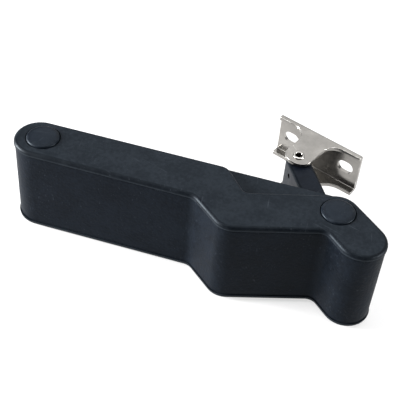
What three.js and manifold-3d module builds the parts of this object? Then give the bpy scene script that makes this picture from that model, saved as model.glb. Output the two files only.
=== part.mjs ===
// Over-centre draw latch: bent handle, pivot link and mounting bracket.
// Millimetres, +Z up along the pin axes. The pieces are drawn about the pivot pin axis, and the whole
// latch is then moved so that the origin lies at the centre of the bracket's back face.
import * as THREE from "three";
import { mergeVertices } from "three/addons/utils/BufferGeometryUtils.js";
import Module from "manifold-3d";

const wasm = await Module();
wasm.setup();

// heights
const capRise = 1.0;
const handleWidth = 37.0;
const coverThick = 1.8;
const seamGap = 0.3;
const cheekThick = 2.2;
const wallThick = 2.6;
const handleLow = capRise;
const handleHigh = handleLow + handleWidth;
const shellLow = handleLow + coverThick + seamGap;
const shellHigh = handleHigh - coverThick - seamGap;
const channelLow = shellLow + cheekThick;
const channelHigh = shellHigh - cheekThick;
const middle = (handleLow + handleHigh) / 2;

// plan of the handle
const pinSpan = 109.7;
const strapFront = -9.7;
const strapRear = 9.05;
const shellRear = 9.6;
const endRadius = (strapRear - strapFront) / 2;
const endReach = 10.6;
const coverEdge = 1.4;
const overhang = 0.25;
const openingRight = 5.0;
const openingLeft = -3.6;
const pocketAtPivot = 6.1;
const ribXs = [-96, -84, -72];
const ribThick = 1.6;
const ribDeep = 6;

// pins, caps, roller and bush
const pinRadius = 2.5;
const runGap = 0.3;
const endPlay = 0.4;
const capRadius = 6.05;
const capHoleRadius = 6.35;
const capBore = 2.8;
const rollerRadius = 4.4;
const bushRadius = 3.7;

// link
const linkHalf = 4.5;
const linkHubRadius = 5.5;
const linkHeight = 14.9;
const linkEdge = 1.1;
const gussetLong = 6.5;
const gussetHigh = 22;
const gussetEdge = 0.8;
const sideHoleRadius = 1.0;
const sideHoleFromRivet = 3.9;
const sideHoleRise = 3.1;
const rivetX = -20.3;
const rivetY = 34.25;
const linkLength = Math.hypot(rivetX, rivetY);
const linkAngle = Math.atan2(rivetY, rivetX);

// bracket, in its own plan frame: X along the plate, back face at Y = 0, ears towards -Y
const plateLong = 37.2;
const bracketHigh = 18.5;
const sheet = 1.5;
const bendRadius = 1.8;
const topLip = 3.1;
const lowLip = 4.6;
const topFlare = 5.8;
const lowFlare = 8.0;
const earReach = 17.4;
const earHalf = 5.45;
const earBeyond = 4.4;
const earCorner = 4.9;
const slotSpacing = 25.4;
const slotLong = 6.8;
const slotWide = 5.2;
const slotRise = 0.4;
const plateTurn = -21.2 * Math.PI / 180;
const rivetRadius = 1.7;
const rivetBore = 1.3;
const rivetFlange = 2.25;
const rivetGap = 0.15;

const facetTurn = 7;                               // degrees per facet on round corners
const beyond = 20;                                 // reach of a cutter past the handle

function cornerArc(before, corner, after) {
  // points of the arc that rounds one corner of an outline
  const [x, y, r] = corner;
  if (!r) {
    return [[x, y]];
  }
  const a = new THREE.Vector2(before[0] - x, before[1] - y).normalize();
  const b = new THREE.Vector2(after[0] - x, after[1] - y).normalize();
  const half = Math.acos(Math.max(-1, Math.min(1, a.dot(b)))) / 2;
  const away = r / Math.tan(half);
  const mid = a.clone().add(b).normalize();
  const cx = x + mid.x * r / Math.sin(half);
  const cy = y + mid.y * r / Math.sin(half);
  const from = Math.atan2(y + a.y * away - cy, x + a.x * away - cx);
  let turn = Math.atan2(y + b.y * away - cy, x + b.x * away - cx) - from;
  if (turn > Math.PI) {
    turn -= 2 * Math.PI;
  }
  if (turn < -Math.PI) {
    turn += 2 * Math.PI;
  }
  const count = Math.max(2, Math.round(Math.abs(turn) * 180 / Math.PI / facetTurn));
  const points = [];
  for (let i = 0; i <= count; i += 1) {
    const at = from + turn * i / count;
    points.push([cx + r * Math.cos(at), cy + r * Math.sin(at)]);
  }
  return points;
}

function outline(corners) {
  const points = [];
  corners.forEach((corner, i) => {
    const before = corners[(i + corners.length - 1) % corners.length];
    const after = corners[(i + 1) % corners.length];
    points.push(...cornerArc(before, corner, after));
  });
  const kept = points.filter((p, i) => {
    const q = points[(i + points.length - 1) % points.length];
    return Math.hypot(p[0] - q[0], p[1] - q[1]) > 0.05;
  });
  return new THREE.Shape(kept.map((p) => new THREE.Vector2(p[0], p[1])));
}

function solid(geometry) {
  const bare = geometry.clone();
  bare.deleteAttribute("normal");
  bare.deleteAttribute("uv");
  const merged = mergeVertices(bare, 1e-4);
  const data = new wasm.Mesh({
    numProp: 3,
    vertProperties: new Float32Array(merged.attributes.position.array),
    triVerts: new Uint32Array(merged.index.array),
  });
  return new wasm.Manifold(data);
}

function slab(shape, low, high) {
  const geometry = new THREE.ExtrudeGeometry(shape, { depth: high - low, bevelEnabled: false });
  geometry.translate(0, 0, low);
  return solid(geometry);
}

function softSlab(shape, low, high, edge, rounds) {
  // slab with rounded or chamfered rims inside the outline
  const geometry = new THREE.ExtrudeGeometry(shape, {
    depth: high - low - 2 * edge,
    bevelEnabled: true,
    bevelThickness: edge,
    bevelSize: edge,
    bevelOffset: -edge,
    bevelSegments: rounds,
  });
  geometry.translate(0, 0, low + edge);
  return solid(geometry);
}

function box(x0, x1, y0, y1, z0, z1) {
  const geometry = new THREE.BoxGeometry(x1 - x0, y1 - y0, z1 - z0);
  geometry.translate((x0 + x1) / 2, (y0 + y1) / 2, (z0 + z1) / 2);
  return solid(geometry);
}

function rod(radius, low, high, x = 0, y = 0, facets = 40) {
  const geometry = new THREE.CylinderGeometry(radius, radius, high - low, facets);
  geometry.rotateX(Math.PI / 2);
  geometry.translate(x, y, (low + high) / 2);
  return solid(geometry);
}

function turned(profile, facets = 40) {
  // profile of [radius, height] pairs, closed or ending on the axis, turned about Z
  const geometry = new THREE.LatheGeometry(profile.map((p) => new THREE.Vector2(p[0], p[1])), facets);
  geometry.rotateX(Math.PI / 2);
  return solid(geometry);
}

function toGeometry(body) {
  const mesh = body.getMesh();
  const geometry = new THREE.BufferGeometry();
  const points = new Float32Array(mesh.numVert * 3);
  for (let i = 0; i < mesh.numVert; i += 1) {
    for (let k = 0; k < 3; k += 1) {
      points[3 * i + k] = mesh.vertProperties[i * mesh.numProp + k];
    }
  }
  geometry.setAttribute("position", new THREE.BufferAttribute(points, 3));
  geometry.setIndex(new THREE.BufferAttribute(new Uint32Array(mesh.triVerts), 1));
  geometry.computeVertexNormals();
  return geometry;
}

const latch = new THREE.Group();
latch.name = "draw_latch";

function piece(parent, name, body, colour, roughness, metalness) {
  const material = new THREE.MeshStandardMaterial({ color: colour, roughness, metalness });
  const mesh = new THREE.Mesh(toGeometry(body), material);
  mesh.name = name;
  parent.add(mesh);
  return mesh;
}

const charcoal = 0x30353c;
const linkBlack = 0x23272e;
const capCharcoal = 0x343941;
const steelGrey = 0xb9b4ac;
const pinGrey = 0x9aa0a6;
const bronze = 0x9c7a45;

// corners of the handle seen along the pins: x, y, rounding radius
const leftX = -pinSpan - endReach;
const tipRadius = 8.75;
function handleCorners(inset) {
  const r = endRadius - inset;
  return [
    [leftX + inset, strapFront + inset, r - 0.01],
    [-49.4 + 0.4 * inset, strapFront + inset, 5],
    [-35.9 + 0.1 * inset, -21.3 + 1.1 * inset, 8 - inset],
    [-2.1, -10.2 + 1.2 * inset, 4],
    [10.5 - 0.1 * inset, -22.1 + 1.4 * inset, tipRadius - inset],
    [22.8 - 1.4 * inset, -9.2 - 0.1 * inset, tipRadius - inset],
    [1.9, 9.7, 8.2],
  ];
}

function coverShape() {
  const corners = handleCorners(0);
  corners.push([-33.1, -1.4, 3]);
  corners.push([-42.0, strapRear, 5]);
  corners.push([leftX, strapRear, endRadius - 0.01]);
  return outline(corners);
}

function shellShape() {
  const corners = handleCorners(overhang);
  const endCorner = (shellRear - strapFront - overhang) / 2 - 0.01;
  corners[0][2] = endCorner;
  corners[6] = [1.3, shellRear, 7.6];
  corners.push([leftX + overhang, shellRear, endCorner]);
  return outline(corners);
}

function pocketShape() {
  const t = wallThick + overhang;
  return outline([
    [leftX + t, strapFront + t, 6.2],
    [-49.4 + 0.4 * t, strapFront + t, 3],
    [-35.9 + 0.1 * t, -21.3 + 1.1 * t, 5],
    [-7.5, -12.6 + 1.2 * t, 2],
    [openingLeft, -6.4, 1.5],
    [openingLeft, beyond, 0],
    [-pinSpan, beyond, 0],
    [-pinSpan, 6.0, 0.5],
    [leftX + t, 6.0, 5.6],
  ]);
}

// channel-shaped body of the handle
let shell = slab(shellShape(), shellLow, shellHigh);
shell = shell.subtract(slab(pocketShape(), channelLow, channelHigh));
shell = shell.subtract(rod(pocketAtPivot, channelLow, channelHigh));
shell = shell.subtract(box(openingLeft - 1, openingRight, 0, beyond, channelLow, channelHigh));
for (const x of ribXs) {
  const half = ribThick / 2;
  const rib = box(x - half, x + half, strapFront + 1, strapFront + ribDeep, shellLow + 1, shellHigh - 1);
  shell = shell.add(rib);
}
for (const x of [0, -pinSpan]) {
  shell = shell.subtract(rod(capBore, -beyond, beyond * 3, x, 0));
}

// side covers, rounded on the outer rim only
function coverHoles(body) {
  let cut = body;
  for (const x of [0, -pinSpan]) {
    cut = cut.subtract(rod(capHoleRadius, -beyond, beyond * 3, x, 0));
  }
  return cut;
}
const blockHalf = 200;
const blockHigh = 6;
const thickCover = softSlab(coverShape(), handleHigh - blockHigh, handleHigh, coverEdge, 3);
const keepLow = handleHigh - coverThick;
const upperKeep = box(-blockHalf, blockHalf, -blockHalf, blockHalf, keepLow, handleHigh + beyond);
const upperCover = coverHoles(thickCover.intersect(upperKeep));
const deepCover = softSlab(coverShape(), handleLow, handleLow + blockHigh, coverEdge, 3);
const lowerKeep = box(-blockHalf, blockHalf, -blockHalf, blockHalf, -beyond, handleLow + coverThick);
const lowerCover = coverHoles(deepCover.intersect(lowerKeep));

const handle = new THREE.Group();
handle.name = "handle_assembly";
latch.add(handle);
piece(handle, "handle_shell", shell, charcoal, 0.7, 0.0);
piece(handle, "upper_side_cover", upperCover, charcoal, 0.62, 0.0);
piece(handle, "lower_side_cover", lowerCover, charcoal, 0.62, 0.0);

// pins with a plastic cap pressed on each end
const pinLow = handleLow + 0.6;
const pinHigh = handleHigh - 0.6;
const capIn = handleHigh - coverThick;
const capOut = handleHigh + capRise;
function pinBody() {
  const c = 0.5;
  return turned([
    [0, pinLow], [pinRadius - c, pinLow], [pinRadius, pinLow + c],
    [pinRadius, pinHigh - c], [pinRadius - c, pinHigh], [0, pinHigh],
  ]);
}
function capBody() {
  return turned([
    [capBore, capIn], [capRadius, capIn], [capRadius, capOut - 0.75], [capRadius - 0.2, capOut - 0.4],
    [capRadius - 0.7, capOut - 0.18], [capRadius - 2.2, capOut - 0.08], [0, capOut],
    [0, pinHigh + seamGap], [capBore, pinHigh + seamGap], [capBore, capIn],
  ]);
}
function capPair(x, name) {
  const upper = piece(handle, `${name}_cap_upper`, capBody(), capCharcoal, 0.55, 0.0);
  upper.position.set(x, 0, 0);
  const lower = piece(handle, `${name}_cap_lower`, capBody(), capCharcoal, 0.55, 0.0);
  lower.position.set(x, 0, handleLow + handleHigh);
  lower.rotation.x = Math.PI;
}
piece(handle, "catch_pin", pinBody(), pinGrey, 0.3, 1.0).position.x = -pinSpan;
piece(handle, "pivot_pin", pinBody(), pinGrey, 0.3, 1.0);
capPair(-pinSpan, "catch_pin");
capPair(0, "pivot_pin");

function sleeve(inner, outer) {
  const low = channelLow + endPlay;
  const high = channelHigh - endPlay;
  const c = 0.25;
  return turned([
    [inner, low], [outer - c, low], [outer, low + c], [outer, high - c], [outer - c, high],
    [inner, high], [inner, low],
  ]);
}
const roller = piece(handle, "catch_roller", sleeve(pinRadius + runGap, rollerRadius), pinGrey, 0.35, 1.0);
roller.position.x = -pinSpan;

// link, drawn along +X from the pivot and turned to the rivet
const linkLow = middle - linkHeight / 2;
const linkHigh = middle + linkHeight / 2;
function stadium(length, half) {
  return outline([
    [-half, -half, half - 0.01], [length + half, -half, half - 0.01],
    [length + half, half, half - 0.01], [-half, half, half - 0.01],
  ]);
}
const gusset = stadium(gussetLong, linkHalf);
let link = softSlab(stadium(linkLength, linkHalf), linkLow, linkHigh, linkEdge, 2);
link = link.add(softSlab(gusset, middle - gussetHigh / 2, middle + gussetHigh / 2, gussetEdge, 1));
link = link.add(rod(linkHubRadius, channelLow + endPlay, channelHigh - endPlay));
link = link.subtract(rod(bushRadius + runGap, channelLow, channelHigh));
link = link.subtract(rod(rivetRadius + runGap, channelLow, channelHigh, linkLength, 0));
const sideHole = new THREE.CylinderGeometry(sideHoleRadius, sideHoleRadius, 6, 24);
sideHole.translate(linkLength - sideHoleFromRivet, linkHalf, middle + sideHoleRise);
link = link.subtract(solid(sideHole));
const linkGroup = new THREE.Group();
linkGroup.name = "link_assembly";
linkGroup.rotation.z = linkAngle;
latch.add(linkGroup);
piece(linkGroup, "link_arm", link, linkBlack, 0.5, 0.0);
piece(linkGroup, "link_bush", sleeve(pinRadius + runGap, bushRadius), bronze, 0.4, 1.0);

// mounting bracket: channel section, two ears, two slots
const bracketLow = middle - bracketHigh / 2;
const bracketTop = middle + bracketHigh / 2;
function channelSection() {
  const inner = bendRadius - sheet;
  return outline([
    [0, bracketLow, bendRadius], [lowLip, bracketLow, 0], [lowLip, bracketLow + sheet, 0],
    [sheet, bracketLow + sheet, inner], [sheet, bracketTop - sheet, inner],
    [topLip, bracketTop - sheet, 0], [topLip, bracketTop, 0], [0, bracketTop, bendRadius],
  ]);
}
function channelBar() {
  // the section is drawn in (depth behind the back face, height) and turned to run along X
  const geometry = new THREE.ExtrudeGeometry(channelSection(), { depth: plateLong, bevelEnabled: false });
  const turn = new THREE.Matrix4().set(0, 0, -1, plateLong, -1, 0, 0, 0, 0, 1, 0, 0, 0, 0, 0, 1);
  geometry.applyMatrix4(turn);
  return solid(geometry);
}
function earShape(lip, flare) {
  // tongue with a rounded end, flaring into the lip along the bent edge
  const u = plateLong / 2;
  const w = earHalf;
  const foot = w + flare + 0.2;
  const root = -bendRadius - 0.1;
  const end = -earReach - earBeyond;
  return outline([
    [u - foot, root, 0], [u - foot, -lip, 0], [u - w, -lip, flare], [u - w, end, earCorner],
    [u + w, end, earCorner], [u + w, -lip, flare], [u + foot, -lip, 0], [u + foot, root, 0],
  ]);
}
function slotCutter(u) {
  const half = slotWide / 2;
  const run = slotLong / 2;
  const shape = outline([
    [-run, -half, half - 0.01], [run, -half, half - 0.01],
    [run, half, half - 0.01], [-run, half, half - 0.01],
  ]);
  const geometry = new THREE.ExtrudeGeometry(shape, { depth: 6, bevelEnabled: false });
  geometry.rotateX(Math.PI / 2);
  geometry.translate(u, 2, middle + slotRise);
  return solid(geometry);
}
let bracket = channelBar();
bracket = bracket.add(slab(earShape(lowLip, lowFlare), bracketLow, bracketLow + sheet));
bracket = bracket.add(slab(earShape(topLip, topFlare), bracketTop - sheet, bracketTop));
bracket = bracket.subtract(slotCutter(plateLong / 2 - slotSpacing / 2));
bracket = bracket.subtract(slotCutter(plateLong / 2 + slotSpacing / 2));
bracket = bracket.subtract(rod(rivetRadius + runGap, channelLow, channelHigh, plateLong / 2, -earReach, 32));

function rivetBody() {
  const low = bracketLow - rivetGap;
  const high = bracketTop + rivetGap;
  const f = rivetFlange;
  return turned([
    [rivetBore, low - 0.2], [f - 0.6, low - 0.45], [f - 0.25, low - 0.42], [f, low - 0.2], [f, low],
    [rivetRadius, low], [rivetRadius, high], [f, high], [f, high + 0.2], [f - 0.25, high + 0.42],
    [f - 0.6, high + 0.45], [rivetBore, high + 0.2], [rivetBore, low - 0.2],
  ], 32);
}

const bracketGroup = new THREE.Group();
bracketGroup.name = "bracket_assembly";
const cosTurn = Math.cos(plateTurn);
const sinTurn = Math.sin(plateTurn);
const alongU = plateLong / 2;
bracketGroup.position.set(
  rivetX - alongU * cosTurn - earReach * sinTurn,
  rivetY - alongU * sinTurn + earReach * cosTurn,
  0,
);
bracketGroup.rotation.z = plateTurn;
latch.add(bracketGroup);
piece(bracketGroup, "mounting_bracket", bracket, steelGrey, 0.3, 1.0);
const rivet = piece(bracketGroup, "bracket_rivet", rivetBody(), steelGrey, 0.3, 1.0);
rivet.position.set(alongU, -earReach, 0);

// origin to the centre of the bracket's back face
latch.position.set(
  -(rivetX - earReach * sinTurn),
  -(rivetY + earReach * cosTurn),
  -middle,
);

export default latch;
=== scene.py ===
import math

import bmesh
import bpy
import numpy as np
from mathutils import Matrix, Vector


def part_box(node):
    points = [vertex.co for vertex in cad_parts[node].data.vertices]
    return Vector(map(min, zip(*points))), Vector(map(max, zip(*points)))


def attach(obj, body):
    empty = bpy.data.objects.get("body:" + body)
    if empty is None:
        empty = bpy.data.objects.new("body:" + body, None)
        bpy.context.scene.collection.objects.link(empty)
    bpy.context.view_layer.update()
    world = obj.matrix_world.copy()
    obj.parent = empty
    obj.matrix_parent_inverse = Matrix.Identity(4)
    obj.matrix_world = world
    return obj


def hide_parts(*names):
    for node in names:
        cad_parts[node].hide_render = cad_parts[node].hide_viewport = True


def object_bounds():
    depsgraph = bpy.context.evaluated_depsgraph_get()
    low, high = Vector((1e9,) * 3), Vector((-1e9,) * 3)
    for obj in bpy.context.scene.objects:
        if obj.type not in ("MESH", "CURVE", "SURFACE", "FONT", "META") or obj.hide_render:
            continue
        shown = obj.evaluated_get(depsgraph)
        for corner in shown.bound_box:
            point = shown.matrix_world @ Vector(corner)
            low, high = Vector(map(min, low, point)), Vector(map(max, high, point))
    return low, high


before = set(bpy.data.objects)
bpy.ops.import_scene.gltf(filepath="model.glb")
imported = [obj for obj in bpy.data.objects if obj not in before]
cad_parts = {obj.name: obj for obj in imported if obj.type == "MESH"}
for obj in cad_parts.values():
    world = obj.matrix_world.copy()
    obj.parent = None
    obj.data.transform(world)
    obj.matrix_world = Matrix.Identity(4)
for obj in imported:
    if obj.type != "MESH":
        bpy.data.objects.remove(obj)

# Over-centre draw latch: bent moulded handle, link, slotted steel bracket.
# Metres, +Z up along the pins, origin at the centre of the bracket's back face.
# The pieces are drawn about the pivot pin axis, and finishPiece moves them home.

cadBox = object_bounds()
mm = 0.001
print("frame loaded")


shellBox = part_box("handle_shell")
home = (Vector(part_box("pivot_pin")[0]) + Vector(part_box("pivot_pin")[1])) / 2
home.z = 0.0
catchX = (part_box("catch_pin")[0][0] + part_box("catch_pin")[1][0]) / 2 - home.x
middleZ = (shellBox[0][2] + shellBox[1][2]) / 2


def roundedOutline(corners, inset=0.0, perArc=10):
    # every edge is moved inwards by inset, then each corner becomes an arc tangent to its two edges:
    # arc point = centre + radius turned evenly from the first tangent point to the second
    data = np.asarray(corners, float) * mm
    point, radius = data[:, :2], data[:, 2]
    edge = np.roll(point, -1, axis=0) - point
    edge /= np.linalg.norm(edge, axis=1, keepdims=True)
    before = np.roll(edge, 1, axis=0)
    inwards = np.stack([-edge[:, 1], edge[:, 0]], axis=1)
    inwardsBefore = np.roll(inwards, 1, axis=0)
    spread = 1 + np.sum(inwards * inwardsBefore, axis=1, keepdims=True)
    moved = point + inset * (inwards + inwardsBefore) / spread
    turn = np.arctan2(before[:, 0] * edge[:, 1] - before[:, 1] * edge[:, 0], np.sum(before * edge, axis=1))
    side = np.sign(turn)
    r = np.maximum(radius - side * inset, 0.00002)
    start = moved - before * (r * np.tan(np.abs(turn) / 2))[:, None]
    centre = start + inwardsBefore * (side * r)[:, None]
    angle = turn[:, None] * np.linspace(0, 1, perArc + 1)[None, :]
    arm = start - centre
    x = centre[:, :1] + arm[:, :1] * np.cos(angle) - arm[:, 1:] * np.sin(angle)
    y = centre[:, 1:] + arm[:, :1] * np.sin(angle) + arm[:, 1:] * np.cos(angle)
    return np.stack([x.ravel(), y.ravel()], axis=1)


def circle(x, y, radius, facets=96):
    # points at an even angle round (x, y)
    angle = np.linspace(0, 2 * np.pi, facets, endpoint=False)
    return np.stack([x + radius * np.cos(angle), y + radius * np.sin(angle)], axis=1)


def stacked(loops, heights):
    # loops of equal length laid at their heights: ring k is loop k with z = height k
    return np.stack([np.column_stack([loop, np.full(len(loop), z)]) for loop, z in zip(loops, heights)])


def wallFaces(rings, closed):
    # quads between neighbouring rings, closed round each ring or open at its ends
    count, size = rings.shape[:2]
    index = np.arange(count * size).reshape(count, size)
    right = np.roll(index, -1, axis=1)
    quads = np.stack([index[:-1], right[:-1], right[1:], index[1:]], axis=-1)
    return (quads if closed else quads[:, :-1]).reshape(-1, 4)


def rimRings(outlineAt, low, high, edgeLow, edgeHigh, support=0.0005, steps=7):
    # side wall with rounded rims: on a rim the inset is e(1 - sin a) while the height moves by e(1 - cos a)
    angle = np.linspace(0, np.pi / 2, steps + 1)
    inset = []
    height = []
    if edgeLow > 0:
        inset += [edgeLow + support] + list(edgeLow * (1 - np.sin(angle)))
        height += [low] + list(low + edgeLow * (1 - np.cos(angle)))
    else:
        inset += [0.0]
        height += [low]
    if edgeHigh > 0:
        inset += list(edgeHigh * (1 - np.sin(angle[::-1]))) + [edgeHigh + support]
        height += list(high - edgeHigh * (1 - np.cos(angle[::-1]))) + [high]
    else:
        inset += [0.0]
        height += [high]
    rings = stacked([outlineAt(i) for i in inset], height)
    rim = np.array([1.0 if 0 < i < max(edgeLow, edgeHigh) * 0.98 else 0.0 for i in inset])
    return rings, np.repeat(rim, rings.shape[1]), True


def makePiece(name, walls, flats, place=None, sharp=38):
    # walls are (rings, rim, closed) sets; flats are (axis, value) planes whose open loops are filled,
    # holes kept; joined and filled in millimetres, which the fill needs, then brought back to metres
    points, faces, rims, first = [], [], [], 0
    for rings, rim, closed in walls:
        points.append(rings.reshape(-1, 3) / mm)
        faces.append(wallFaces(rings, closed) + first)
        rims.append(rim)
        first += rings.shape[0] * rings.shape[1]
    mesh = bpy.data.meshes.new(name)
    mesh.from_pydata(np.concatenate(points).tolist(), [], np.concatenate(faces).tolist())
    mesh.attributes.new("rim", "FLOAT", "POINT")
    mesh.attributes["rim"].data.foreach_set("value", np.concatenate(rims).astype(np.float32))
    work = bmesh.new()
    work.from_mesh(mesh)
    bmesh.ops.remove_doubles(work, verts=work.verts, dist=0.001)
    for axis, value in flats:
        onPlane = {v for v in work.verts if abs(v.co[axis] - value / mm) < 0.002}
        loose = [e for e in work.edges if e.is_boundary and onPlane.issuperset(e.verts)]
        bmesh.ops.triangle_fill(work, use_beauty=True, edges=loose)
    bmesh.ops.recalc_face_normals(work, faces=work.faces)
    openEdges = sum(1 for e in work.edges if not e.is_manifold)
    work.to_mesh(mesh)
    work.free()
    mesh.transform(Matrix.Scale(mm, 4))
    if place is not None:
        mesh.transform(place)
    piece = bpy.data.objects.new(name, mesh)
    bpy.context.scene.collection.objects.link(piece)
    smoothPiece(piece, sharp)
    print(name, len(mesh.polygons), "faces,", openEdges, "open edges")
    return piece


def smoothPiece(piece, sharp):
    # smooth shading, broken at edges sharper than the given angle in degrees
    mesh = piece.data
    mesh.polygons.foreach_set("use_smooth", np.ones(len(mesh.polygons), dtype=bool))
    mesh.set_sharp_from_angle(angle=math.radians(sharp))


def cutAway(piece, cutters, sharp=38):
    # takes the cutters out of the piece for good, and removes them
    for cutter in cutters:
        cut = piece.modifiers.new("cut", "BOOLEAN")
        cut.operation = "DIFFERENCE"
        cut.solver = "EXACT"
        cut.object = cutter
    bpy.context.view_layer.update()
    graph = bpy.context.evaluated_depsgraph_get()
    mesh = bpy.data.meshes.new_from_object(piece.evaluated_get(graph))
    piece.modifiers.clear()
    piece.data = mesh
    for cutter in cutters:
        bpy.data.objects.remove(cutter)
    smoothPiece(piece, sharp)


def joinInto(piece, other):
    # other's mesh is added to piece's, and other is removed
    work = bmesh.new()
    work.from_mesh(piece.data)
    work.from_mesh(other.data)
    work.to_mesh(piece.data)
    work.free()
    bpy.data.objects.remove(other)


def plain(rings, closed=True):
    # a wall with no rim wear
    return rings, np.zeros(rings.shape[0] * rings.shape[1]), closed


def turnedWall(profile, x=0.0, y=0.0, facets=96, wornAndGlint=()):
    # profile of (radius, height): each pair becomes a circle of that radius about a line along Z at (x, y);
    # the listed rows get the rim attribute, which carries rim wear, painted rim shade on plastic and a
    # painted highlight on steel
    rings = stacked([circle(x, y, r, facets) for r, _ in profile], [h for _, h in profile])
    rim = np.array([1.0 if k in wornAndGlint else 0.0 for k in range(len(profile))])
    return rings, np.repeat(rim, facets), True


def roundCorner(radius, height, size, up, steps=6):
    # quarter of a circle from the side at radius to the flat at height, size across; up is +1 or -1
    angle = np.linspace(0, np.pi / 2, steps + 1)
    return [(radius - size * (1 - math.cos(a)), height - up * size * (1 - math.sin(a))) for a in angle]


def groupNode(tree, group, values):
    node = tree.nodes.new("ShaderNodeGroup")
    node.node_tree = group
    for key, value in values.items():
        node.inputs[key].default_value = value
    return node


def newGroup(name, inputs, outputs):
    group = bpy.data.node_groups.new(name, "ShaderNodeTree")
    for label, kind, value in inputs:
        socket = group.interface.new_socket(label, in_out="INPUT", socket_type=kind)
        if value is not None:
            socket.default_value = value
    for label, kind in outputs:
        group.interface.new_socket(label, in_out="OUTPUT", socket_type=kind)
    return group, group.nodes.new("NodeGroupInput"), group.nodes.new("NodeGroupOutput")


def mathNode(tree, kind, a, b=None, clamp=False):
    node = tree.nodes.new("ShaderNodeMath")
    node.operation = kind
    node.use_clamp = clamp
    for socket, value in zip(node.inputs, (a, b)):
        if value is None:
            continue
        if hasattr(value, "links"):
            tree.links.new(value, socket)
        else:
            socket.default_value = value
    return node.outputs[0]


def noiseNode(tree, vector, scale, detail=3.0, rough=0.5):
    node = tree.nodes.new("ShaderNodeTexNoise")
    node.inputs["Detail"].default_value = detail
    node.inputs["Roughness"].default_value = rough
    tree.links.new(vector, node.inputs["Vector"])
    if hasattr(scale, "links"):
        tree.links.new(scale, node.inputs["Scale"])
    else:
        node.inputs["Scale"].default_value = scale
    return node.outputs["Fac"]


def rampNode(tree, value, low, high):
    node = tree.nodes.new("ShaderNodeMapRange")
    node.interpolation_type = "SMOOTHSTEP"
    node.inputs["From Min"].default_value = low
    node.inputs["From Max"].default_value = high
    tree.links.new(value, node.inputs["Value"])
    return node.outputs["Result"]


def makeScuffGroup():
    # thin scratches: stretched noise squeezed to narrow bands, broken up by a patchy mask
    sockets = [
        ("Vector", "NodeSocketVector", None),
        ("Amount", "NodeSocketFloat", 0.5),
        ("Turn", "NodeSocketFloat", 0.3),
    ]
    results = [("Scratch", "NodeSocketFloat"), ("Dust", "NodeSocketFloat")]
    group, source, sink = newGroup("scuffs", sockets, results)
    place, amount = source.outputs["Vector"], source.outputs["Amount"]
    total = None
    for angle, stretch in ((0.0, (60, 1900, 900)), (1.1, (45, 1500, 700))):
        turned = group.nodes.new("ShaderNodeVectorRotate")
        turned.rotation_type = "Z_AXIS"
        group.links.new(place, turned.inputs["Vector"])
        group.links.new(mathNode(group, "ADD", source.outputs["Turn"], angle), turned.inputs["Angle"])
        scaled = group.nodes.new("ShaderNodeVectorMath")
        scaled.operation = "MULTIPLY"
        scaled.inputs[1].default_value = stretch
        group.links.new(turned.outputs["Vector"], scaled.inputs[0])
        lines = rampNode(group, noiseNode(group, scaled.outputs["Vector"], 1.0, 2.0, 0.4), 0.66, 0.74)
        patch = rampNode(group, noiseNode(group, place, 90 + 60 * angle, 2.0), 0.50, 0.64)
        line = mathNode(group, "MULTIPLY", lines, patch)
        total = line if total is None else mathNode(group, "MAXIMUM", total, line)
    group.links.new(mathNode(group, "MULTIPLY", total, amount, True), sink.inputs["Scratch"])
    specks = rampNode(group, noiseNode(group, place, 1700, 1.0), 0.70, 0.78)
    where = rampNode(group, noiseNode(group, place, 55, 2.0), 0.42, 0.68)
    dust = mathNode(group, "MULTIPLY", mathNode(group, "MULTIPLY", specks, where), amount, True)
    group.links.new(dust, sink.inputs["Dust"])
    return group


def makeRimWearAndGlintGroup():
    # wear on the rims, on the steel also a painted highlight along them: the piece's rim attribute, broken up
    # by noise
    group, source, sink = newGroup(
        "rimWearAndGlint",
        [("Vector", "NodeSocketVector", None), ("Amount", "NodeSocketFloat", 0.5)],
        [("WearAndGlint", "NodeSocketFloat")],
    )
    rim = group.nodes.new("ShaderNodeAttribute")
    rim.attribute_name = "rim"
    broken = rampNode(group, noiseNode(group, source.outputs["Vector"], 260, 5.0, 0.65), 0.46, 0.70)
    wornAndGlint = mathNode(group, "MULTIPLY", rim.outputs["Fac"], broken)
    group.links.new(mathNode(group, "MULTIPLY", wornAndGlint, source.outputs["Amount"], True), sink.inputs["WearAndGlint"])
    return group


def makeGrainGroup():
    # fine cellular grain of a spark-eroded mould, as a height, and a mottle of patches and creases
    group, source, sink = newGroup(
        "mouldGrain",
        [("Vector", "NodeSocketVector", None), ("Scale", "NodeSocketFloat", 2600.0)],
        [("Height", "NodeSocketFloat"), ("Mottle", "NodeSocketFloat")],
    )
    cells = group.nodes.new("ShaderNodeTexVoronoi")
    cells.feature = "SMOOTH_F1"
    place, scale = source.outputs["Vector"], source.outputs["Scale"]
    group.links.new(place, cells.inputs["Vector"])
    group.links.new(scale, cells.inputs["Scale"])
    fine = noiseNode(group, place, mathNode(group, "MULTIPLY", scale, 0.45), 4.0)
    height = mathNode(group, "ADD", mathNode(group, "MULTIPLY", cells.outputs["Distance"], 0.6), fine)
    group.links.new(height, sink.inputs["Height"])
    patches = mathNode(group, "MULTIPLY", noiseNode(group, place, 110, 6.0, 0.62), 0.5)
    creases = mathNode(group, "MULTIPLY", noiseNode(group, place, 850, 3.0, 0.6), 0.5)
    group.links.new(mathNode(group, "ADD", patches, creases), sink.inputs["Mottle"])
    return group


scuffGroup = makeScuffGroup()
rimWearAndGlintGroup = makeRimWearAndGlintGroup()
grainGroup = makeGrainGroup()
print("shader groups ready")


def mixColour(tree, factor, a, b, kind="MIX"):
    node = tree.nodes.new("ShaderNodeMix")
    node.data_type = "RGBA"
    node.blend_type = kind
    tree.links.new(factor, node.inputs["Factor"])
    for socket, value in ((node.inputs["A"], a), (node.inputs["B"], b)):
        if hasattr(value, "links"):
            tree.links.new(value, socket)
        else:
            socket.default_value = (*value, 1)
    return node.outputs["Result"]


def startMaterial(name):
    material = bpy.data.materials.new(name)
    material.use_nodes = True
    tree = material.node_tree
    coords = tree.nodes.new("ShaderNodeTexCoord").outputs["Object"]
    return material, tree, tree.nodes["Principled BSDF"], coords


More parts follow.
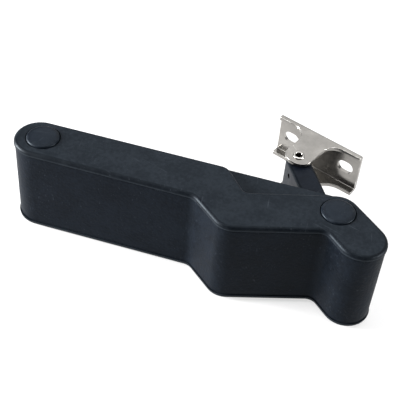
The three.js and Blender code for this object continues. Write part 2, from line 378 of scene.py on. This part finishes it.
def mouldedPlastic(name, look):
    # charcoal moulding: mottled body colour, rims darkened with painted shade for the dark reflection on
    # them, sparse dust and scratches over a fine grain
    material, tree, surface, coords = startMaterial(name)
    grain = groupNode(tree, grainGroup, {"Scale": look["grainScale"]})
    scuff = groupNode(tree, scuffGroup, {"Amount": look["scuff"], "Turn": look["turn"]})
    wearAndGlint = groupNode(tree, rimWearAndGlintGroup, {"Amount": look["wearAndGlint"]})
    for node in (grain, scuff, wearAndGlint):
        tree.links.new(coords, node.inputs["Vector"])
    mottle = rampNode(tree, grain.outputs["Mottle"], 0.39, 0.61)
    rim = tree.nodes.new("ShaderNodeAttribute")
    rim.attribute_name = "rim"
    rimShadeAndGloss = mathNode(tree, "MULTIPLY", rim.outputs["Fac"], look["rimShadeAndGloss"])
    colour = mixColour(tree, mottle, look["dark"], look["light"])
    # painted shade on the rims, standing for the dark reflection on their rounded edges
    colour = mixColour(tree, rimShadeAndGloss, colour, look["rimShade"])
    colour = mixColour(tree, scuff.outputs["Dust"], colour, look["dust"])
    colour = mixColour(tree, scuff.outputs["Scratch"], colour, look["scratch"])
    colour = mixColour(tree, wearAndGlint.outputs["WearAndGlint"], colour, look["wornAndGlint"])
    tree.links.new(colour, surface.inputs["Base Color"])
    rough = mathNode(tree, "MULTIPLY_ADD", mottle, look["roughSpread"])
    rough.node.inputs[2].default_value = look["rough"]
    scratch = scuff.outputs["Scratch"]
    rough = mathNode(tree, "ADD", rough, mathNode(tree, "MULTIPLY", scratch, look["scratchRough"]), True)
    rough = mathNode(tree, "SUBTRACT", rough, mathNode(tree, "MULTIPLY", rimShadeAndGloss, look["rimSmooth"]), True)
    tree.links.new(rough, surface.inputs["Roughness"])
    surface.inputs["Specular IOR Level"].default_value = look["specular"]
    surface.inputs["Specular Tint"].default_value = (*look["sheen"], 1)
    bump = tree.nodes.new("ShaderNodeBump")
    bump.inputs["Strength"].default_value = look["bump"]
    bump.inputs["Distance"].default_value = look["bumpDepth"] * mm
    cut = mathNode(tree, "MULTIPLY", scratch, look["scratchDepth"])
    height = mathNode(tree, "SUBTRACT", grain.outputs["Height"], cut)
    tree.links.new(height, bump.inputs["Height"])
    tree.links.new(bump.outputs["Normal"], surface.inputs["Normal"])
    return material


def sheetSteel(name, look):
    # uncoated metal: grain drawn out one way, along the plate on the bracket, faint clouds, rims brightened
    # partly by wear and partly by a painted highlight
    material, tree, surface, coords = startMaterial(name)
    mapping = tree.nodes.new("ShaderNodeMapping")
    mapping.inputs["Rotation"].default_value = (0, 0, -look["along"])
    tree.links.new(coords, mapping.inputs["Vector"])
    stretched = tree.nodes.new("ShaderNodeVectorMath")
    stretched.operation = "MULTIPLY"
    stretched.inputs[1].default_value = look["stretch"]
    tree.links.new(mapping.outputs["Vector"], stretched.inputs[0])
    lines = noiseNode(tree, stretched.outputs["Vector"], 1.0, 5.0, 0.6)
    clouds = rampNode(tree, noiseNode(tree, coords, look["cloudScale"], 4.0, 0.6), 0.32, 0.70)
    scuff = groupNode(tree, scuffGroup, {"Amount": look["scuff"], "Turn": look["turn"]})
    wearAndGlint = groupNode(tree, rimWearAndGlintGroup, {"Amount": look["wearAndGlint"]})
    for node in (scuff, wearAndGlint):
        tree.links.new(coords, node.inputs["Vector"])
    colour = mixColour(tree, clouds, look["dark"], look["light"])
    colour = mixColour(tree, scuff.outputs["Scratch"], colour, look["scratch"])
    # rims lightened partly by wear and partly by a painted highlight
    colour = mixColour(tree, wearAndGlint.outputs["WearAndGlint"], colour, look["wornAndGlint"])
    tree.links.new(colour, surface.inputs["Base Color"])
    surface.inputs["Metallic"].default_value = 1.0
    rough = mathNode(tree, "MULTIPLY_ADD", clouds, look["roughSpread"])
    rough.node.inputs[2].default_value = look["rough"]
    rough = mathNode(tree, "ADD", rough, mathNode(tree, "MULTIPLY", lines, look["lineRough"]), True)
    tree.links.new(rough, surface.inputs["Roughness"])
    bump = tree.nodes.new("ShaderNodeBump")
    bump.inputs["Strength"].default_value = look["bump"]
    bump.inputs["Distance"].default_value = look["bumpDepth"] * mm
    cut = mathNode(tree, "MULTIPLY", scuff.outputs["Scratch"], look["scratchDepth"])
    tree.links.new(mathNode(tree, "SUBTRACT", lines, cut), bump.inputs["Height"])
    tree.links.new(bump.outputs["Normal"], surface.inputs["Normal"])
    return material


plateTurn = math.radians(-21.2)

handleLook = {
    "dark": (0.0044, 0.0062, 0.0088), "light": (0.0092, 0.0120, 0.0158),      # body colour
    "dust": (0.060, 0.066, 0.076), "scratch": (0.034, 0.040, 0.049), "wornAndGlint": (0.034, 0.041, 0.050),
    "rimShade": (0.0014, 0.0022, 0.0036), "rimShadeAndGloss": 1.0, "rimSmooth": 0.02,   # rims darkened with painted shade, the dark reflection on the rounded rims
    "scuff": 0.40, "turn": 0.35, "scratchRough": 0.10, "scratchDepth": 0.8, "wearAndGlint": 0.08,
    "rough": 0.44, "roughSpread": 0.10, "specular": 0.11, "sheen": (0.72, 0.86, 1.0),
    "grainScale": 2300.0, "bump": 0.34, "bumpDepth": 0.09,
}
# side walls: coarser grain, and a darker colour that is partly painted shade on the side faces
wallShadedLook = {
    **handleLook, "dark": (0.0013, 0.0023, 0.0042), "light": (0.0034, 0.0051, 0.0082),
    "scuff": 0.34, "turn": 1.2, "specular": 0.065, "grainScale": 1250.0, "bump": 0.9,
}
# the caps and the link keep the painted shade on their rims, weaker on the caps
capLook = {
    **handleLook, "dark": (0.0048, 0.0068, 0.0104), "light": (0.0072, 0.0098, 0.0142),
    "rimShadeAndGloss": 0.4, "turn": 1.9, "wearAndGlint": 0.25, "rough": 0.36, "specular": 0.12, "bump": 0.22,
}
linkLook = {
    **handleLook, "dark": (0.0026, 0.0036, 0.0062), "light": (0.0042, 0.0056, 0.0090),
    "wornAndGlint": (0.016, 0.020, 0.026), "turn": 2.1, "rough": 0.34, "specular": 0.10, "bump": 0.16,
}
steelLook = {
    "dark": (0.28, 0.269, 0.253), "light": (0.38, 0.365, 0.343),              # body colour
    # near-white rims: partly wear, partly a painted highlight along the sheet's edges
    "scratch": (0.55, 0.53, 0.50), "wornAndGlint": (0.85, 0.83, 0.80),
    "along": plateTurn, "stretch": (70, 2400, 2400), "cloudScale": 85.0,      # rolling direction and grain
    "scuff": 0.35, "turn": -0.2, "scratchDepth": 1.2, "wearAndGlint": 1.0,
    "rough": 0.16, "roughSpread": 0.05, "lineRough": 0.08, "bump": 0.25, "bumpDepth": 0.02,
}
pinLook = {**steelLook, "stretch": (90, 90, 3000), "rough": 0.24, "turn": 0.8}
bushLook = {
    **steelLook, "dark": (0.42, 0.26, 0.10), "light": (0.56, 0.37, 0.16),
    "scratch": (0.66, 0.47, 0.24), "wornAndGlint": (0.68, 0.50, 0.27), "rough": 0.30,
}
handleMaterial = mouldedPlastic("handleCharcoal", handleLook)
wallShadedMaterial = mouldedPlastic("wallCharcoalShaded", wallShadedLook)
capMaterial = mouldedPlastic("capCharcoal", capLook)
linkMaterial = mouldedPlastic("linkBlack", linkLook)
steelMaterial = sheetSteel("bracketSteel", steelLook)
pinMaterial = sheetSteel("pinSteel", pinLook)
bushMaterial = sheetSteel("bushBronze", bushLook)
print("materials ready")


def finishPiece(piece, material, body, slot, *nodes):
    # moves the mesh home, then gives the piece its material and body, and hides the nodes it stands for; slot
    # is not used
    piece.data.transform(Matrix.Translation(home))
    piece.data.materials.append(material)
    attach(piece, body)
    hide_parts(*nodes)


handle = {
    "pinSpan": 109.7, "front": -9.7, "rear": 9.05, "shellRear": 9.6, "endReach": 10.6, "tipRadius": 8.75,
    "coverEdge": 1.4, "overhang": 0.25, "wall": 2.6, "cheek": 2.2, "rimEdge": 0.3, "bare": -3.0,
    "capHole": 6.35, "holeLip": 0.12, "pinHole": 2.8,
    "ribs": (-96, -84, -72), "ribHalf": 0.8, "ribDeep": 5.0, "ribTaper": 0.1,
}
endRadius = (handle["rear"] - handle["front"]) / 2
leftEnd = -handle["pinSpan"] - handle["endReach"]
frontCorners = [
    (leftEnd, handle["front"], endRadius - 0.01),
    (-49.4, handle["front"], 5.0),
    (-35.9, -21.3, 8.0),
    (-2.1, -10.2, 4.0),
    (10.5, -22.1, handle["tipRadius"]),
    (22.8, -9.2, handle["tipRadius"]),
]
coverCorners = frontCorners + [
    (1.9, 9.7, 8.2),
    (-33.1, -1.4, 3.0),                              # the notch
    (-42.0, handle["rear"], 5.0),
    (leftEnd, handle["rear"], endRadius - 0.01),
]


def makeCover(name, node, upper):
    # bent plate: rings of the outline with a rounded outer rim, and two straight round holes for the caps
    low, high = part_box(node)[0][2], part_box(node)[1][2]
    edge = handle["coverEdge"] * mm
    rings, rim, closed = rimRings(
        lambda i: roundedOutline(coverCorners, i), low, high, edge * (not upper), edge * upper, 0.0001)
    rim[rings[:, :, 1].ravel() > handle["bare"] * mm] = 0.0     # rims towards the rear face the light, so they get no painted rim shade, and no rim wear either
    walls = [(rings, rim, closed)]
    lip = handle["holeLip"] * mm
    for x in (0.0, catchX):
        heights = [low, high - lip, high] if upper else [low, low + lip, high]
        radii = [0, 0, lip] if upper else [lip, 0, 0]
        loops = [circle(x, 0.0, handle["capHole"] * mm + r) for r in radii]
        walls.append(plain(stacked(loops, heights)))
    return makePiece(name, walls, [(2, low), (2, high)])


def makeShell():
    # full slabs in the two cheeks; between them the wall follows the outline and comes back along its inside,
    # so the channel is open along the straight rear edge
    low, high = shellBox[0][2], shellBox[1][2]
    channelLow, channelHigh = low + handle["cheek"] * mm, high - handle["cheek"] * mm
    over = handle["overhang"] * mm
    perArc = 10
    wallRear = handle["shellRear"] + handle["overhang"]
    endCorner = (wallRear - handle["front"]) / 2 - 0.01
    corners = [(leftEnd, handle["front"], endCorner)] + frontCorners[1:]
    corners += [(5.1, wallRear - 3.22, 0.1), (1.5, wallRear, 8.0), (leftEnd, wallRear, endCorner)]

    def outlineAt(inset):
        return roundedOutline(corners, over + inset, perArc)

    rim = handle["rimEdge"] * mm
    walls = [rimRings(outlineAt, low, channelLow, rim, 0), rimRings(outlineAt, channelHigh, high, 0, rim)]
    whole = outlineAt(0.0)
    openRight = 6 * (perArc + 1)      # the opening runs from the corner on the sloping rear edge
    openLeft = 8 * (perArc + 1)       # to the start of the left end's arc
    outer = np.concatenate([whole[openLeft:], whole[:openRight + 1]])
    walls.append(plain(stacked([outer, outer], [channelLow, channelHigh]), False))
    t = handle["wall"] + handle["overhang"]
    inside = [
        (*(whole[openRight] / mm), 0.0),
        (6.1, 0.5, 3.0), (3.0, -6.2, 3.0), (-3.5, -7.6, 1.5),
        (-35.6, -21.3 + 1.1 * t, 3.0), (-49.4 + 0.4 * t, handle["front"] + t, 3.0),
        (leftEnd + t, handle["front"] + t, 6.2), (leftEnd + t, 6.0, 5.6), (-handle["pinSpan"], 6.0, 0.4),
        (*(whole[openLeft] / mm), 0.0),
    ]
    loop = roundedOutline(inside, 0.0, perArc)
    ends = whole[[openRight, openLeft]]
    inner = np.concatenate([ends[:1], loop[perArc + 1:-perArc - 1], ends[1:]])
    walls.append(plain(stacked([inner, inner], [channelLow, channelHigh]), False))
    for x in (0.0, catchX):
        hole = circle(x, 0.0, handle["pinHole"] * mm, 48)
        walls.append(plain(stacked([hole, hole], [low, channelLow])))
        walls.append(plain(stacked([hole, hole], [channelHigh, high])))
    ribLow, ribHigh = channelLow - 0.5 * mm, channelHigh + 0.5 * mm
    foot, half = handle["front"] + 1, handle["ribHalf"]
    top, slim = foot + handle["ribDeep"], half - handle["ribTaper"]
    for x in handle["ribs"]:
        rib = [(x - half, foot, 0), (x + half, foot, 0), (x + slim, top, 0.6), (x - slim, top, 0.6)]
        section = roundedOutline(rib)
        walls.append(plain(stacked([section, section], [ribLow, ribHigh])))
    levels = (low, channelLow, channelHigh, high, ribLow, ribHigh)
    return makePiece("handleBody", walls, [(2, z) for z in levels])


upperCover = makeCover("upperCover", "upper_side_cover", True)
lowerCover = makeCover("lowerCover", "lower_side_cover", False)
handleBody = makeShell()
finishPiece(upperCover, handleMaterial, "handle", "handle_plastic", "upper_side_cover")
finishPiece(lowerCover, handleMaterial, "handle", "handle_plastic", "lower_side_cover")
finishPiece(handleBody, wallShadedMaterial, "handle", "handle_plastic", "handle_shell")
handleBody.data.materials.append(handleMaterial)     # its top and bottom take the covers' lighter finish; the side faces keep the darker one, partly painted shade
faceNormal = np.zeros(3 * len(handleBody.data.polygons))
handleBody.data.polygons.foreach_get("normal", faceNormal)
handleBody.data.polygons.foreach_set("material_index", (np.abs(faceNormal[2::3]) > 0.5).astype(np.int32))
print("handle ready")


cap = {"bore": 2.8, "boreDepth": 1.6, "shoulder": 1.3, "shoulderDrop": 0.72, "crown": 0.22, "foot": 0.12}
centreDot = 0.3      # a turned profile stops this far from its axis, and a flat closes it


def makeCap(name, node, x, upper):
    # pressed disc: short side, rounded shoulder, then a crown that rises as 1 - (r / R) squared;
    # blind bore below
    low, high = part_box(node)[0][2] / mm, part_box(node)[1][2] / mm
    outer = (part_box(node)[1][0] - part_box(node)[0][0]) / 2 / mm
    tall = high - low
    shoulder = cap["shoulder"]
    profile = [(cap["bore"], 0.0), (outer - cap["foot"], 0.0), (outer, cap["foot"])]
    drop = tall - cap["crown"]
    for a in np.linspace(0, np.pi / 2, 9):
        down = cap["shoulderDrop"] * (1 - math.sin(a))
        profile.append((outer - shoulder * (1 - math.cos(a)), drop - down))
    inside = outer - shoulder
    for k in np.linspace(0.94, 0.05, 12):
        profile.append((inside * k, drop + cap["crown"] * (1 - k * k)))
    bore = [(cap["bore"], 0.0), (cap["bore"], cap["boreDepth"]), (centreDot, cap["boreDepth"])]
    sign, base = (1, low) if upper else (-1, high)
    walls = []
    # the shoulder rows get the rim attribute: rim wear and the painted rim shade
    for part, wornAndGlint in ((profile, range(4, 12)), (bore, ())):
        walls.append(turnedWall([(r * mm, (base + sign * h) * mm) for r, h in part], x, 0.0, 128, wornAndGlint))
    tops = [(base + sign * profile[-1][1]) * mm, (base + sign * cap["boreDepth"]) * mm]
    return makePiece(name, walls, [(2, z) for z in tops])


for upper, side in ((True, "upper"), (False, "lower")):
    for x, pin in ((catchX, "catch"), (0.0, "pivot")):
        node = pin + "_pin_cap_" + side
        disc = makeCap(pin + "Cap" + side.title(), node, x, upper)
        finishPiece(disc, capMaterial, "handle", "cap_plastic", node)


pins = {"rodEdge": 0.5, "sleeveEdge": 0.25, "sleeveBore": 2.8}


def makeRod(name, node, x):
    # ground pin with rounded ends
    low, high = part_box(node)[0][2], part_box(node)[1][2]
    radius = (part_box(node)[1][0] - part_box(node)[0][0]) / 2
    ends = roundCorner(radius, high, pins["rodEdge"] * mm, 1)
    profile = [(r, low + high - h) for r, h in ends[::-1]] + ends
    profile = [(centreDot * mm, low)] + profile + [(centreDot * mm, high)]
    return makePiece(name, [turnedWall(profile, x, 0.0, 64)], [(2, low), (2, high)])


def makeSleeve(name, node, x):
    # tube with rounded mouths
    bore = pins["sleeveBore"] * mm
    low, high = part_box(node)[0][2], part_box(node)[1][2]
    outer = (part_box(node)[1][0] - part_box(node)[0][0]) / 2
    top = roundCorner(outer, high, pins["sleeveEdge"] * mm, 1, 4)
    bottom = [(r, low + high - h) for r, h in top[::-1]]
    profile = [(bore, low)] + bottom + top + [(bore, high), (bore, low)]
    return makePiece(name, [turnedWall(profile, x, 0.0, 64)], [])


finishPiece(makeRod("catchPin", "catch_pin", catchX), pinMaterial, "handle", "pin_steel", "catch_pin")
finishPiece(makeRod("pivotPin", "pivot_pin", 0.0), pinMaterial, "handle", "pin_steel", "pivot_pin")
roller = makeSleeve("catchRoller", "catch_roller", catchX)
finishPiece(roller, pinMaterial, "roller", "pin_steel", "catch_roller")
finishPiece(makeSleeve("linkBush", "link_bush", 0.0), bushMaterial, "link", "bush_bronze", "link_bush")
print("pins and caps ready")


link = {
    "half": 4.5, "height": 14.9, "startX": 4.2, "rimEdge": 1.1,
    "rivetX": -20.3, "rivetY": 34.25, "rivetHole": 2.0,
    "hub": 5.5, "hubEdge": 0.5, "bushHole": 4.0,
    "gussetTo": 11.0, "gussetHalf": 4.2, "gussetHalfHeight": 11.0, "gussetEdge": 0.8,
    "sideHole": 1.0, "sideHoleBack": 3.9, "sideHoleRise": 3.1, "sideHoleDeep": 2.0,
}
linkLength = math.hypot(link["rivetX"], link["rivetY"])
linkAngle = math.atan2(link["rivetY"], link["rivetX"])


def makeLinkBar():
    # straight bar with rounded rims and the rivet's hole
    low, high = middleZ - link["height"] / 2 * mm, middleZ + link["height"] / 2 * mm
    half, end, start = link["half"], linkLength + link["half"], link["startX"]
    bar = [(start, -half, 0.2), (end, -half, half - 0.01), (end, half, half - 0.01), (start, half, 0.2)]
    edge = link["rimEdge"] * mm
    walls = [rimRings(lambda i: roundedOutline(bar, i), low, high, edge, edge, 0.0001)]
    hole = circle(linkLength * mm, 0.0, link["rivetHole"] * mm, 48)
    walls.append(plain(stacked([hole, hole], [low, high])))
    return makePiece("linkArm", walls, [(2, low), (2, high)], Matrix.Rotation(linkAngle, 4, "Z"))


def makeLinkEnd():
    # gusset and full-height hub round the bush
    half, start, tip, edge = link["gussetHalf"], link["startX"], link["gussetTo"], link["gussetEdge"] * mm
    gusset = [(start, -half, 0.2), (tip, -half, 3), (tip, half, 3), (start, half, 0.2)]
    low, high = middleZ - link["gussetHalfHeight"] * mm, middleZ + link["gussetHalfHeight"] * mm
    walls = [rimRings(lambda i: roundedOutline(gusset, i), low, high, edge, edge, 0.0001)]
    hubLow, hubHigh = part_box("link_arm")[0][2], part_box("link_arm")[1][2]
    top = roundCorner(link["hub"] * mm, hubHigh, link["hubEdge"] * mm, 1)
    bottom = [(r, hubLow + hubHigh - h) for r, h in top[::-1]]
    bore = link["bushHole"] * mm
    profile = [(bore, hubLow)] + bottom + top + [(bore, hubHigh), (bore, hubLow)]
    walls.append(turnedWall(profile, 0.0, 0.0, 72))
    return makePiece("linkEnd", walls, [(2, low), (2, high)], Matrix.Rotation(linkAngle, 4, "Z"))


def sideHoleCutter():
    # short rod across the link's rear side, near the rivet
    radius, deep = link["sideHole"] * mm, link["sideHoleDeep"] * mm
    at = ((linkLength - link["sideHoleBack"]) * mm, link["half"] * mm, middleZ + link["sideHoleRise"] * mm)
    place = Matrix.Rotation(linkAngle, 4, "Z") @ Matrix.Translation(at) @ Matrix.Rotation(math.pi / 2, 4, "X")
    rings = turnedWall([(radius, -deep), (radius, deep)], 0.0, 0.0, 32)
    return makePiece("sideHole", [rings], [(2, -deep), (2, deep)], place)


linkArm = makeLinkBar()
cutAway(linkArm, [sideHoleCutter()])
joinInto(linkArm, makeLinkEnd())
finishPiece(linkArm, linkMaterial, "link", "link_plastic", "link_arm")
print("link ready")


bracket = {
    "long": 37.2, "sheet": 1.5, "bend": 1.8, "rimEdge": 0.22, "root": -1.6,
    "topLip": 3.1, "lowLip": 4.6, "lipCorner": 0.5, "topFlare": 5.8, "lowFlare": 8.0,
    "earReach": 17.4, "earHalf": 5.45, "earBeyond": 4.4, "earCorner": 4.9, "hole": 2.0,
    "slotSpacing": 25.4, "slotLong": 6.8, "slotWide": 5.2, "slotRise": 0.4, "slotDeep": 4.0,
}
halfLong = bracket["long"] / 2
plateX = link["rivetX"] - halfLong * math.cos(plateTurn) - bracket["earReach"] * math.sin(plateTurn)
plateY = link["rivetY"] - halfLong * math.sin(plateTurn) + bracket["earReach"] * math.cos(plateTurn)
bracketPlace = Matrix.Translation((plateX * mm, plateY * mm, 0.0)) @ Matrix.Rotation(plateTurn, 4, "Z")
bracketLow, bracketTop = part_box("mounting_bracket")[0][2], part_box("mounting_bracket")[1][2]
bracketEdge = bracket["rimEdge"] * mm


def makePlate():
    # plate with its two bent edges: the section swept along the plate
    a, b, long = bracketLow / mm, bracketTop / mm, bracket["long"] * mm
    sheet, bend = bracket["sheet"], bracket["bend"]
    section = [
        (-bend, a, 0), (0, a, bend), (0, b, bend), (-bend, b, 0), (-bend, b - sheet, 0),
        (-sheet, b - sheet, bend - sheet), (-sheet, a + sheet, bend - sheet), (-bend, a + sheet, 0),
    ]
    edge = bracketEdge
    rings, rim, closed = rimRings(lambda i: roundedOutline(section, i), 0.0, long, edge, edge, 0.0001)
    along = rings[:, :, [2, 0, 1]]
    return makePiece("mountingBracket", [(along, rim, closed)], [(0, 0.0), (0, long)])


def makeEar(name, lip, flare, z0):
    # lip along one bent edge, flaring into a tongue with a rounded end and the rivet's hole
    z1 = z0 + bracket["sheet"] * mm
    left, right = halfLong - bracket["earHalf"], halfLong + bracket["earHalf"]
    end, corner = -bracket["earReach"] - bracket["earBeyond"], bracket["earCorner"]
    shape = [
        (0, bracket["root"], 0), (0, -lip, bracket["lipCorner"]), (left, -lip, flare), (left, end, corner),
        (right, end, corner), (right, -lip, flare), (bracket["long"], -lip, bracket["lipCorner"]),
        (bracket["long"], bracket["root"], 0),
    ]
    walls = [rimRings(lambda i: roundedOutline(shape, i), z0, z1, bracketEdge, bracketEdge, 0.0001)]
    hole = circle(halfLong * mm, -bracket["earReach"] * mm, bracket["hole"] * mm, 48)
    walls.append(plain(stacked([hole, hole], [z0, z1])))
    return makePiece(name, walls, [(2, z0), (2, z1)])


def slotCutter(u):
    # stadium through the plate
    half, run, deep = bracket["slotWide"] / 2, bracket["slotLong"] / 2, bracket["slotDeep"] * mm
    r = half - 0.01
    shape = roundedOutline([(-run, -half, r), (run, -half, r), (run, half, r), (-run, half, r)])
    at = (u * mm, 0, middleZ + bracket["slotRise"] * mm)
    place = Matrix.Translation(at) @ Matrix.Rotation(math.pi / 2, 4, "X")
    walls = [plain(stacked([shape, shape], [-deep, deep]))]
    return makePiece("slotCutter", walls, [(2, -deep), (2, deep)], place)


mountingBracket = makePlate()
halfSpacing = bracket["slotSpacing"] / 2
cutAway(mountingBracket, [slotCutter(halfLong - halfSpacing), slotCutter(halfLong + halfSpacing)])
upperEar = makeEar("upperEar", bracket["topLip"], bracket["topFlare"], bracketTop - bracket["sheet"] * mm)
joinInto(mountingBracket, upperEar)
joinInto(mountingBracket, makeEar("lowerEar", bracket["lowLip"], bracket["lowFlare"], bracketLow))
mountingBracket.data.transform(bracketPlace)
finishPiece(mountingBracket, steelMaterial, "bracket", "stainless", "mounting_bracket")


rivet = {"bore": 1.3, "shank": 1.7, "roll": 0.45, "neck": 0.24}


def makeRivet():
    # tubular rivet: straight bore, rolled flange at both ends
    low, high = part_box("bracket_rivet")[0][2] / mm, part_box("bracket_rivet")[1][2] / mm
    flange = (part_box("bracket_rivet")[1][0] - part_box("bracket_rivet")[0][0]) / 2 / mm
    bore, roll = rivet["bore"], rivet["roll"]
    angle = np.linspace(-0.35, math.pi - 0.2, 12)      # over the roll, from its outer side to the bore
    mid, size = (bore + flange) / 2, (flange - bore) / 2
    top = [(mid + size * math.cos(a), high - roll + roll * math.sin(a)) for a in angle]
    half = [(rivet["shank"], high - roll - rivet["neck"])] + top + [(bore, high - roll * 1.4)]
    other = [(r, low + high - h) for r, h in half]
    profile = [(r * mm, h * mm) for r, h in half + other[::-1] + [half[0]]]
    at = (link["rivetX"] * mm, link["rivetY"] * mm)
    # the flange rows get the rim attribute: wear and a painted highlight on the rolled flange
    return makePiece("bracketRivet", [turnedWall(profile, *at, 64, range(2, 10))], [])


finishPiece(makeRivet(), steelMaterial, "bracket", "stainless", "bracket_rivet")
print("bracket ready")


stage = {
    "floorColour": (0.32, 0.32, 0.32), "floorGlow": 0.62, "floorHalf": 3.0,
    "worldColour": (0.93, 0.96, 1.0), "worldStrength": 0.12,
    "cameraAt": (6.3, -237.4, 246.2), "cameraAim": (-50.9, 7.3, 0.0), "cameraRoll": 5.12, "lens": 84.96,
    "lightAim": (-0.05, 0.01, 0.0),
    "lights": (                                      # name, place from the aim, size, power
        ("overhead", (0.0, 0.10, 0.85), (1.1, 0.8), 8),
        ("rearStrip", (0.15, 0.95, 0.62), (1.6, 0.7), 4.5),
        ("leftSide", (-0.80, -0.20, 0.20), (0.3, 0.3), 36),
        ("rightSide", (0.80, -0.02, 0.20), (0.3, 0.3), 8),
    ),
}


def makeFloor():
    # flat sheet under the lower caps, faintly glowing so that it stays pale
    size, low = stage["floorHalf"], cadBox[0][2]
    corners = [(-size, -size, low), (size, -size, low), (size, size, low), (-size, size, low)]
    mesh = bpy.data.meshes.new("floor")
    mesh.from_pydata(corners, [], [(0, 1, 2, 3)])
    floor = bpy.data.objects.new("floor", mesh)
    bpy.context.scene.collection.objects.link(floor)
    material = bpy.data.materials.new("paleFloor")
    material.use_nodes = True
    surface = material.node_tree.nodes["Principled BSDF"]
    surface.inputs["Base Color"].default_value = (*stage["floorColour"], 1)
    surface.inputs["Roughness"].default_value = 0.9
    surface.inputs["Specular IOR Level"].default_value = 0.1
    surface.inputs["Emission Color"].default_value = (1, 1, 1, 1)
    surface.inputs["Emission Strength"].default_value = stage["floorGlow"]
    floor.data.materials.append(material)


def areaLight(name, offset, size, power):
    # softbox at an offset from the aim point, turned towards it
    aim = home + Vector(stage["lightAim"])
    data = bpy.data.lights.new(name, "AREA")
    data.shape = "RECTANGLE"
    data.size, data.size_y = size
    data.energy = power
    lamp = bpy.data.objects.new(name, data)
    lamp.location = aim + Vector(offset)
    lamp.rotation_euler = (-Vector(offset)).to_track_quat("-Z", "Y").to_euler()
    bpy.context.scene.collection.objects.link(lamp)


def makeCamera():
    # looks from at to aim, then turned about its own axis
    data = bpy.data.cameras.new("camera")
    data.lens = stage["lens"]
    data.sensor_width = 36.0
    data.clip_start = 0.01
    camera = bpy.data.objects.new("camera", data)
    at, aim = Vector(stage["cameraAt"]) * mm + home, Vector(stage["cameraAim"]) * mm + home
    turn = (aim - at).to_track_quat("-Z", "Y").to_matrix().to_4x4()
    roll = Matrix.Rotation(math.radians(stage["cameraRoll"]), 4, "Z")
    camera.matrix_world = Matrix.Translation(at) @ turn @ roll
    bpy.context.scene.collection.objects.link(camera)
    bpy.context.scene.camera = camera


makeFloor()
for light in stage["lights"]:
    areaLight(*light)
world = bpy.data.worlds.new("studio")
world.use_nodes = True
background = world.node_tree.nodes["Background"]
background.inputs["Color"].default_value = (*stage["worldColour"], 1)
background.inputs["Strength"].default_value = stage["worldStrength"]
bpy.context.scene.world = world
bpy.context.scene.view_settings.view_transform = "Standard"
makeCamera()
print("stage ready")
